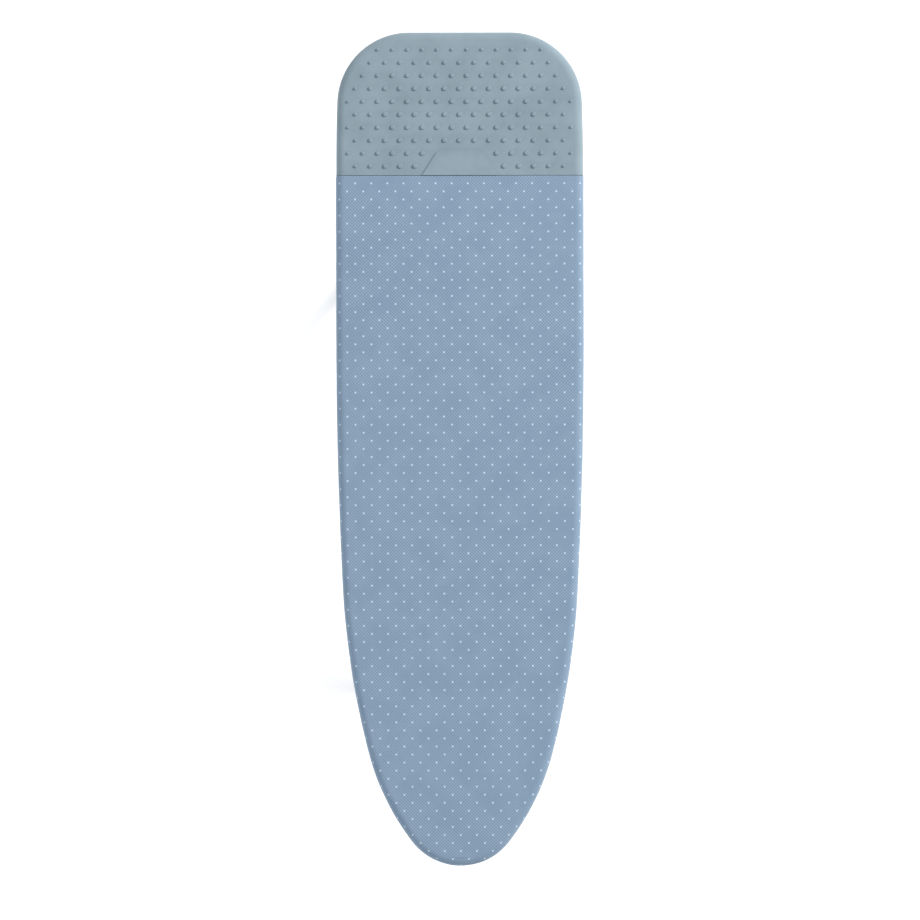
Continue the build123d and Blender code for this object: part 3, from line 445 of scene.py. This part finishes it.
def edge_profile():
    """The cover's cross-section from the flat top round the edge and under: (inset, drop, way along)."""
    points = []
    for k in range(1, ARC_STEPS + 1):
        angle = pi / 2 * k / ARC_STEPS
        points.append((EDGE_ROUND * (1 - sin(angle)), EDGE_DROP * (1 - cos(angle))))
    wall = COVER_DEPTH - EDGE_DROP - UNDER_ROUND
    points += [(0.0, EDGE_DROP + wall / 2), (0.0, EDGE_DROP + wall)]
    for k in range(1, UNDER_STEPS + 1):
        angle = pi / 2 * k / UNDER_STEPS
        points.append((UNDER_ROUND * (1 - cos(angle)), COVER_DEPTH - UNDER_ROUND * (1 - sin(angle))))
    for k in range(1, HEM_STEPS + 1):
        points.append((UNDER_ROUND + (HEM_WIDTH - UNDER_ROUND) * k / HEM_STEPS, COVER_DEPTH))
    profile, way, before = [], 0.0, (EDGE_ROUND, 0.0)
    for point in points:
        way += (Vector(point) - Vector(before)).length
        profile.append((*point, way))
        before = point
    return profile


def top_swell(x, y):
    """Slight unevenness of the padded top: a broad swell with a finer one on it."""
    return sum(height * noise.noise(Vector((scale * x, scale * y, at_z))) for height, scale, at_z in SWELLS)


def gather(t, share):
    """Lift and slip of the pleats that the elastic draws up, at the signed distance t from the nose.

    The share is 0 where the hem starts and 1 at its end.
    """
    bend = 1.0 + NOSE_GATHER * max(0.0, 1 - abs(t) / NOSE_REACH)
    phase = tau * t / PLEAT_PITCH + PLEAT_WANDER * noise.noise(Vector((t * 18, 11.0, 0.0)))
    depth = PLEAT_MEAN + PLEAT_VARIES * noise.noise(Vector((t * 55, 11.0, 4.0)))
    return share ** 1.5 * bend * depth * sin(phase) * MM, share * 0.4 * cos(phase) * MM


def hem_height(lift, share):
    """Height of the turned-under hem: the elastic pulls it up a little towards its end."""
    return TOP_Z - COVER_DEPTH + HEM_PULL * share + PLEAT_LIFT * lift


def chain(t, profile):
    """One side of the cover, from the flat top round to the hem, at the signed distance t from the nose."""
    side = 1 if t >= 0 else -1
    at, out = outline(abs(t))
    points = []
    for inset, drop, way in profile:
        under = max(0.0, (inset - UNDER_ROUND) / (HEM_WIDTH - UNDER_ROUND)) if drop > EDGE_DROP else 0.0
        lift, slip = gather(t, under)
        ripple = EDGE_RIPPLE * noise.noise(Vector((40 * t, 9.0, 60 * drop)))
        point = at - (inset - PLEAT_SLIP * slip - ripple) * out
        z = hem_height(lift, under) if under > 0 else TOP_Z - drop
        flat = at - (EDGE_ROUND - way) * out
        points.append((Vector((point.x, side * point.y, z)), Vector((flat.x, side * flat.y, 0.0))))
    return points


def spread(count):
    """Shares from -1 to 1 across the top, closer together towards both edges."""
    shares = [2 * j / count - 1 for j in range(count + 1)]
    return [share * (1.35 - 0.35 * share * share) for share in shares]


def cover_rows():
    """Rows of (position, flat cloth coordinates) from the nose tip back to the seam."""
    profile = edge_profile()
    rows = []
    for s in stations(COVER_STEP, X_SEAM + FOLD_RADIUS):
        at, out = outline(s)
        inner = at - EDGE_ROUND * out
        top = []
        for share in spread(RUNG_COUNT):
            x, y = inner.x, inner.y * share
            swell = (1 - abs(share) ** 8) * top_swell(x, y)
            top.append((Vector((x, y, TOP_Z - TOP_SINK + swell)), Vector((x, y, 0.0))))
        rows.append(chain(-s, profile)[::-1] + top + chain(s, profile))
    return rows


def fold_rows(last):
    """The cover's end at the seam: turned under in a small round and laid back."""
    angles = [pi * k / FOLD_STEPS for k in range(1, FOLD_STEPS + 1)]
    steps = [(FOLD_REACH * sin(angle), FOLD_RADIUS * (1 - cos(angle))) for angle in angles]
    steps += [(-FOLD_BACK * k / BACK_STEPS, 2 * FOLD_RADIUS) for k in range(1, BACK_STEPS + 1)]
    inward = []
    for j in range(len(last)):
        run = last[min(j + 1, len(last) - 1)][0] - last[max(j - 1, 0)][0]
        inward.append(Vector((0, run.z, -run.y)).normalized())
    return [
        [(point + depth * way - Vector((forward, 0, 0)),
          flat - Vector((pi / 2 * depth + max(0.0, -forward), 0, 0)))
         for (point, flat), way in zip(last, inward)]
        for forward, depth in steps
    ]


def give_flat(obj, flats):
    """Stores where each vertex lies on the flat cloth, for the print and the weave."""
    layer = obj.data.attributes.new("flat_cloth", "FLOAT_VECTOR", "POINT")
    for item, flat in zip(layer.data, flats):
        item.vector = flat


def thicken(obj, thickness):
    """Gives a sheet its thickness, on the side away from its normals."""
    solid = obj.modifiers.new("thickness", "SOLIDIFY")
    solid.thickness = thickness
    solid.offset = -1


def place(obj, body, node, slot_name):
    """The piece rides on a body and, if a node is named, stands for it."""
    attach(obj, body)
    if node:
        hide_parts(node)


def build_cover(material, foam_layer, binding):
    """Cloth stretched over the foam: top, edge and hem, with its end turned under at the seam."""
    rows = cover_rows()
    rows += fold_rows(rows[-1])
    columns = len(rows[0])
    vertices = [point for row in rows for point, _ in row]
    cover = make_object("cover_cloth", vertices, grid_faces(len(rows), columns, flip=True), material)
    give_flat(cover, [flat for row in rows for _, flat in row])
    merge_close(cover)
    thicken(cover, CLOTH_T)
    place(cover, "board", "cover", "cover_cloth")


# ---------------------------------------------------------------- binding, foam and felt
BINDING_STEP = 0.9 * MM
BINDING_HALF, BINDING_T = 3.6 * MM, 2.4 * MM
BINDING_POINTS = 14
BINDING_INSET = 30.4 * MM            # the middle of the tape, inside the outline
PUCKER_PITCH, PUCKER_DEPTH = 3.4 * MM, 0.16
UPPER_FACE = 20 * MM                 # where the tape's upper face lies on its flat, clear of the stitches
FOAM_INSET, FOAM_GAP = 1.6 * MM, 0.9 * MM
FOAM_ROUND = 11.0 * MM
FOAM_T = 4.2 * MM
FOAM_WALL_INSET = 8.2 * MM
FOAM_CHAMFER_RISE, FOAM_CHAMFER = 2 * MM, 1 * MM    # the chamfer on the margin's lower edges: height and width
FOAM_SOFT = 0.25 * MM                # unevenness of the foam's margin
FOAM_ARC_STEPS = 8
FOAM_SWELL = 0.3                     # share of the cover's swell that the foam has
FELT_INSET = 12.6 * MM
FELT_RAGGED, FELT_GAP = 0.5 * MM, 0.1 * MM
PAD_STEP = 6.0 * MM


def build_binding(material):
    """Elastic tape folded over the hem's edge, drawn into fine gathers, open at the seam."""
    half = stations(BINDING_STEP, X_SEAM + FOLD_RADIUS)
    rings, flats = [], []
    for t in [-s for s in half[:0:-1]] + half:
        at, out = outline(abs(t))
        side = 1 if t >= 0 else -1
        lift, slip = gather(t, 1.0)
        phase = tau * t / PUCKER_PITCH + 3.0 * noise.noise(Vector((t * 60, 2.0, 0.0)))
        pucker = 1 + PUCKER_DEPTH * sin(phase)
        for k in range(BINDING_POINTS):
            angle = tau * k / BINDING_POINTS
            across = BINDING_HALF * abs(cos(angle)) ** 0.7 * (1 if cos(angle) > 0 else -1)
            up = BINDING_T / 2 * pucker * abs(sin(angle)) ** 0.6 * (1 if sin(angle) > 0 else -1)
            point = at - (BINDING_INSET - PLEAT_SLIP * slip + across) * out
            rings.append(Vector((point.x, side * point.y, hem_height(lift, 1.0) + up)))
            flats.append(Vector((t, -across if sin(angle) <= 0 else across + UPPER_FACE, 0)))
    faces = tube_faces(len(rings) // BINDING_POINTS, BINDING_POINTS)
    tape = make_object("elastic_binding", rings, faces, material)
    give_flat(tape, flats)
    merge_close(tape)
    place(tape, "board", "cover_binding", "binding")
    return tape


def build_foam(material):
    """Foam sheet whose margin turns down over the deck's rim, cut square at the seam."""
    top, low = FOAM_HIGH.z - FOAM_GAP, FOAM_LOW.z
    angles = [pi / 2 * k / FOAM_ARC_STEPS for k in range(FOAM_ARC_STEPS + 1)]
    rim = [(FOAM_INSET + FOAM_ROUND * (1 - sin(angle)), top - FOAM_ROUND * (1 - cos(angle)))
           for angle in angles]
    rim += [(FOAM_INSET, low + FOAM_CHAMFER_RISE), (FOAM_INSET + FOAM_CHAMFER, low),
            (FOAM_WALL_INSET - FOAM_CHAMFER, low), (FOAM_WALL_INSET, low + FOAM_CHAMFER_RISE),
            (FOAM_WALL_INSET, top - FOAM_T - FOAM_CHAMFER), (FOAM_WALL_INSET + FOAM_CHAMFER, top - FOAM_T)]
    shares = spread(RUNG_COUNT)[1:-1]
    rows = []
    for s in stations(PAD_STEP, X_SEAM + FOLD_RADIUS):
        at, out = outline(s)
        right = []
        for inset, z in rim:
            soft = FOAM_SOFT * noise.noise(Vector((60 * s, 60 * z, 5.0)))
            point = at - (inset + abs(soft)) * out
            right.append(Vector((point.x, point.y, z)))
        left = [Vector((point.x, -point.y, point.z)) for point in right]
        upper, under = right[0], right[-1]
        over = [Vector((upper.x, upper.y * share, top + FOAM_SWELL * top_swell(upper.x, upper.y * share)))
                for share in shares]
        below = [Vector((under.x, -under.y * share, under.z)) for share in shares]
        rows.append(over + right + below + left[::-1])
    columns = len(rows[0])
    vertices = [point for row in rows for point in row]
    faces = grid_faces(len(rows), columns, closed=True)
    faces.append(tuple(range(len(vertices) - columns, len(vertices))))
    layer = make_object("foam_layer", vertices, faces, material)
    merge_close(layer)
    place(layer, "board", "foam_pad", "foam")
    return layer


def build_felt(material):
    """Needled felt laid between the deck and the foam, with a roughly cut edge."""
    top = FELT_HIGH.z - FELT_GAP
    rows = []
    for s in stations(PAD_STEP, X_SEAM + FOLD_RADIUS):
        at, out = outline(s)
        edge = at - (FELT_INSET + FELT_RAGGED * abs(noise.noise(Vector((90 * s, 1.0, 0.0))))) * out
        rows.append([Vector((edge.x, edge.y * share, top)) for share in spread(RUNG_COUNT)])
    vertices = [point for row in rows for point in row]
    layer = make_object("felt_layer", vertices, grid_faces(len(rows), RUNG_COUNT + 1, flip=True), material)
    merge_close(layer)
    thicken(layer, FELT_HIGH.z - FELT_LOW.z - 2 * FELT_GAP)
    place(layer, "board", "felt_underlay", "felt")


# ---------------------------------------------------------------- lock spring
WIRE_RADIUS = 0.35 * MM
SPRING_TURNS, SPRING_STEPS, WIRE_POINTS = 2.5, 40, 10     # turns, rings to a turn, points to a ring


def build_spring(material):
    """Coil spring over the lock plate."""
    low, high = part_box("lock_spring")
    centre_x, centre_y = (low.x + high.x) / 2, (low.y + high.y) / 2
    radius = (high.y - low.y) / 2 - WIRE_RADIUS
    bottom, height = low.z + WIRE_RADIUS, high.z - low.z - 2 * WIRE_RADIUS
    count = round(SPRING_TURNS * SPRING_STEPS)
    rings = []
    for i in range(count + 1):
        angle = tau * i / SPRING_STEPS
        out = Vector((cos(angle), sin(angle), 0))
        on_coil = Vector((centre_x, centre_y, bottom + height * i / count)) + radius * out
        for k in range(WIRE_POINTS):
            around = tau * k / WIRE_POINTS
            rings.append(on_coil + WIRE_RADIUS * (cos(around) * out + Vector((0, 0, sin(around)))))
    spring = make_object("coil_spring", rings, tube_faces(count + 1, WIRE_POINTS), material)
    merge_close(spring)
    place(spring, "board", "lock_spring", "zinc_steel")
    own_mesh(spring)


# ---------------------------------------------------------------- weld beads
BEAD_POINTS, BEAD_STEPS = 10, 96
BEAD_RADIUS, BEAD_RIPPLE, BEAD_WAVES = 1.3 * MM, 0.18 * MM, 26


def middle(node):
    """Middle of a node's box."""
    low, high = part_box(node)
    return (low + high) / 2


def weld_bead(name, body, material, centre, main, branch, radius, main_radius):
    """Rippled bead where a tube of one radius meets a larger or equal one at a right angle."""
    across = main.cross(branch)
    path = []
    for i in range(BEAD_STEPS):
        angle = tau * i / BEAD_STEPS
        reach = sqrt(max(0.0, main_radius ** 2 - (radius * cos(angle)) ** 2))
        path.append(centre + radius * (cos(angle) * across + sin(angle) * main) + reach * branch)
    rings = []
    for i, point in enumerate(path):
        ahead = (path[(i + 1) % BEAD_STEPS] - path[i - 1]).normalized()
        outward = (point - centre).normalized()
        beside = ahead.cross(outward).normalized()
        outward = beside.cross(ahead)
        size = BEAD_RADIUS + BEAD_RIPPLE * sin(tau * BEAD_WAVES * i / BEAD_STEPS)
        for k in range(BEAD_POINTS):
            angle = tau * k / BEAD_POINTS
            rings.append(point + size * (cos(angle) * outward + sin(angle) * beside))
    rings += rings[:BEAD_POINTS]
    faces = grid_faces(BEAD_STEPS + 1, BEAD_POINTS, closed=True)
    bead = make_object(name, rings, faces, material)
    merge_close(bead)
    place(bead, body, None, "painted_steel")


def build_welds(material):
    """Beads between each leg tube and its foot bar, and at both ends of each brace."""
    for pair, pivot in (("outer", "pivot_pins"), ("inner", "slider_axle")):
        bar, brace, start = middle(f"{pair}_foot_bar"), middle(f"{pair}_leg_brace"), middle(pivot)
        down = bar - start
        down.y = 0
        down.normalize()
        bar_low, bar_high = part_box(f"{pair}_foot_bar")
        brace_low, brace_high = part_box(f"{pair}_leg_brace")
        for side_name, side in (("left", -1), ("right", 1)):
            tube_low, tube_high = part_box(f"{pair}_leg_tube_{side_name}")
            tube_y, tube_radius = (tube_low.y + tube_high.y) / 2, (tube_high.y - tube_low.y) / 2
            weld_bead(f"weld_{pair}_foot_{side_name}", f"{pair}_legs", material,
                      Vector((bar.x, tube_y, bar.z)), Vector((0, 1, 0)), -down,
                      tube_radius, (bar_high.z - bar_low.z) / 2)
            weld_bead(f"weld_{pair}_brace_{side_name}", f"{pair}_legs", material,
                      Vector((brace.x, tube_y, brace.z)), down, Vector((0, -side, 0)),
                      (brace_high.x - brace_low.x) / 2, tube_radius)


# ---------------------------------------------------------------- camera, lights and floor
CAMERA_ABOVE = 8.0
PICTURE_WIDTH = 1.375           # width seen at the height of the top
CAMERA_X, CAMERA_Y = 16.6 * MM, -0.3 * MM
CAMERA_ROLL = 0.1
SENSOR = 36.0
LIGHTS_AIM = (0, 0, 0.9)
LIGHTS = (                      # name, place, size of the disk, power, tint
    ("key", (-3.2, 5.2, 5.0), 1.5, 465, (1.0, 0.98, 0.95)),
    ("fill", (2.0, -6.5, 2.6), 2.5, 95, (0.97, 0.98, 1.0)),
)
SKY_TINT, SKY_STRENGTH = (0.93, 0.96, 1.0, 1), 0.57
FLOOR_SIZE, FLOOR_DROP = 60, 0.5 * MM
FLOOR_TONES = (0.93, 0.93, 0.93, 1), (0.95, 0.95, 0.95, 1)
FLOOR_GLOW = 0.26                # keeps the pale floor even


def area_light(name, spot, size, power, tint):
    """Soft round light at a spot, aimed at the board's top."""
    light = bpy.data.lights.new(name, "AREA")
    light.shape = "DISK"
    light.size = size
    light.energy = power
    light.color = tint
    obj = bpy.data.objects.new(name, light)
    bpy.context.scene.collection.objects.link(obj)
    obj.location = spot
    obj.rotation_euler = (Vector(LIGHTS_AIM) - obj.location).to_track_quat("-Z", "Y").to_euler()


def build_camera():
    """Camera straight above the top, with the nose at the foot of the picture."""
    camera = bpy.data.cameras.new("camera")
    camera.sensor_width = SENSOR
    camera.lens = SENSOR * CAMERA_ABOVE / PICTURE_WIDTH
    camera.clip_start, camera.clip_end = 0.1, 100
    obj = bpy.data.objects.new("camera", camera)
    obj.location = (CAMERA_X, CAMERA_Y, TOP_Z + CAMERA_ABOVE)
    obj.rotation_euler = (0, 0, radians(90 - CAMERA_ROLL))
    bpy.context.scene.collection.objects.link(obj)
    bpy.context.scene.camera = obj


def build_studio():
    """Pale floor, even sky, a soft key light over the square end's lever side, a weak fill across from it."""
    scene = bpy.context.scene
    scene.view_settings.view_transform = "Standard"
    scene.view_settings.look = "None"
    world = bpy.data.worlds.new("studio")
    scene.world = world
    world.use_nodes = True
    background = world.node_tree.nodes["Background"]
    background.inputs["Color"].default_value = SKY_TINT
    background.inputs["Strength"].default_value = SKY_STRENGTH
    n = Nodes("studio_floor")
    grain = n.noise(n.position(), 3.0, 2.0)
    tone = n.mix(grain, *FLOOR_TONES)
    white = n.surface(Base_Color=tone, Roughness=0.9, Emission_Color=(1, 1, 1, 1),
                      Emission_Strength=FLOOR_GLOW)
    bpy.ops.mesh.primitive_plane_add(size=FLOOR_SIZE, location=(0, 0, -FLOOR_DROP))
    floor_plane = bpy.context.object
    floor_plane.name = "studio_floor"
    floor_plane.data.materials.append(white)
    for light in LIGHTS:
        area_light(*light)


# ---------------------------------------------------------------- assembly
def paint(material, *slots):
    """Gives a material to every CAD node of these record slots."""
    slot_of = {part["node"]: part["material_slot"] for part in frame["record"]["subparts"]}
    for name, obj in frame["nodes"].items():
        if slot_of[name] in slots:
            obj.data.materials.clear()
            obj.data.materials.append(material)


build_camera()
build_studio()
coat = powder_coat()
paint(silicone(), "silicone")
paint(coat, "painted_steel")
zinc = zinc_plate()
paint(zinc, "zinc_steel")
paint(moulded("grey_moulding", MOULDING_GREY), "moulded_grey")
paint(moulded("grip_moulding", GRIP_BLUE, roughness=0.62), "grip_plastic")
paint(moulded("foot_rubber", FOOT_BLACK, grain_scale=700.0, roughness=0.75, strength=0.5), "foot_rubber")
build_welds(coat)
build_spring(zinc)
build_felt(felt())
build_cover(cover_cloth(), build_foam(foam()), build_binding(elastic_tape()))
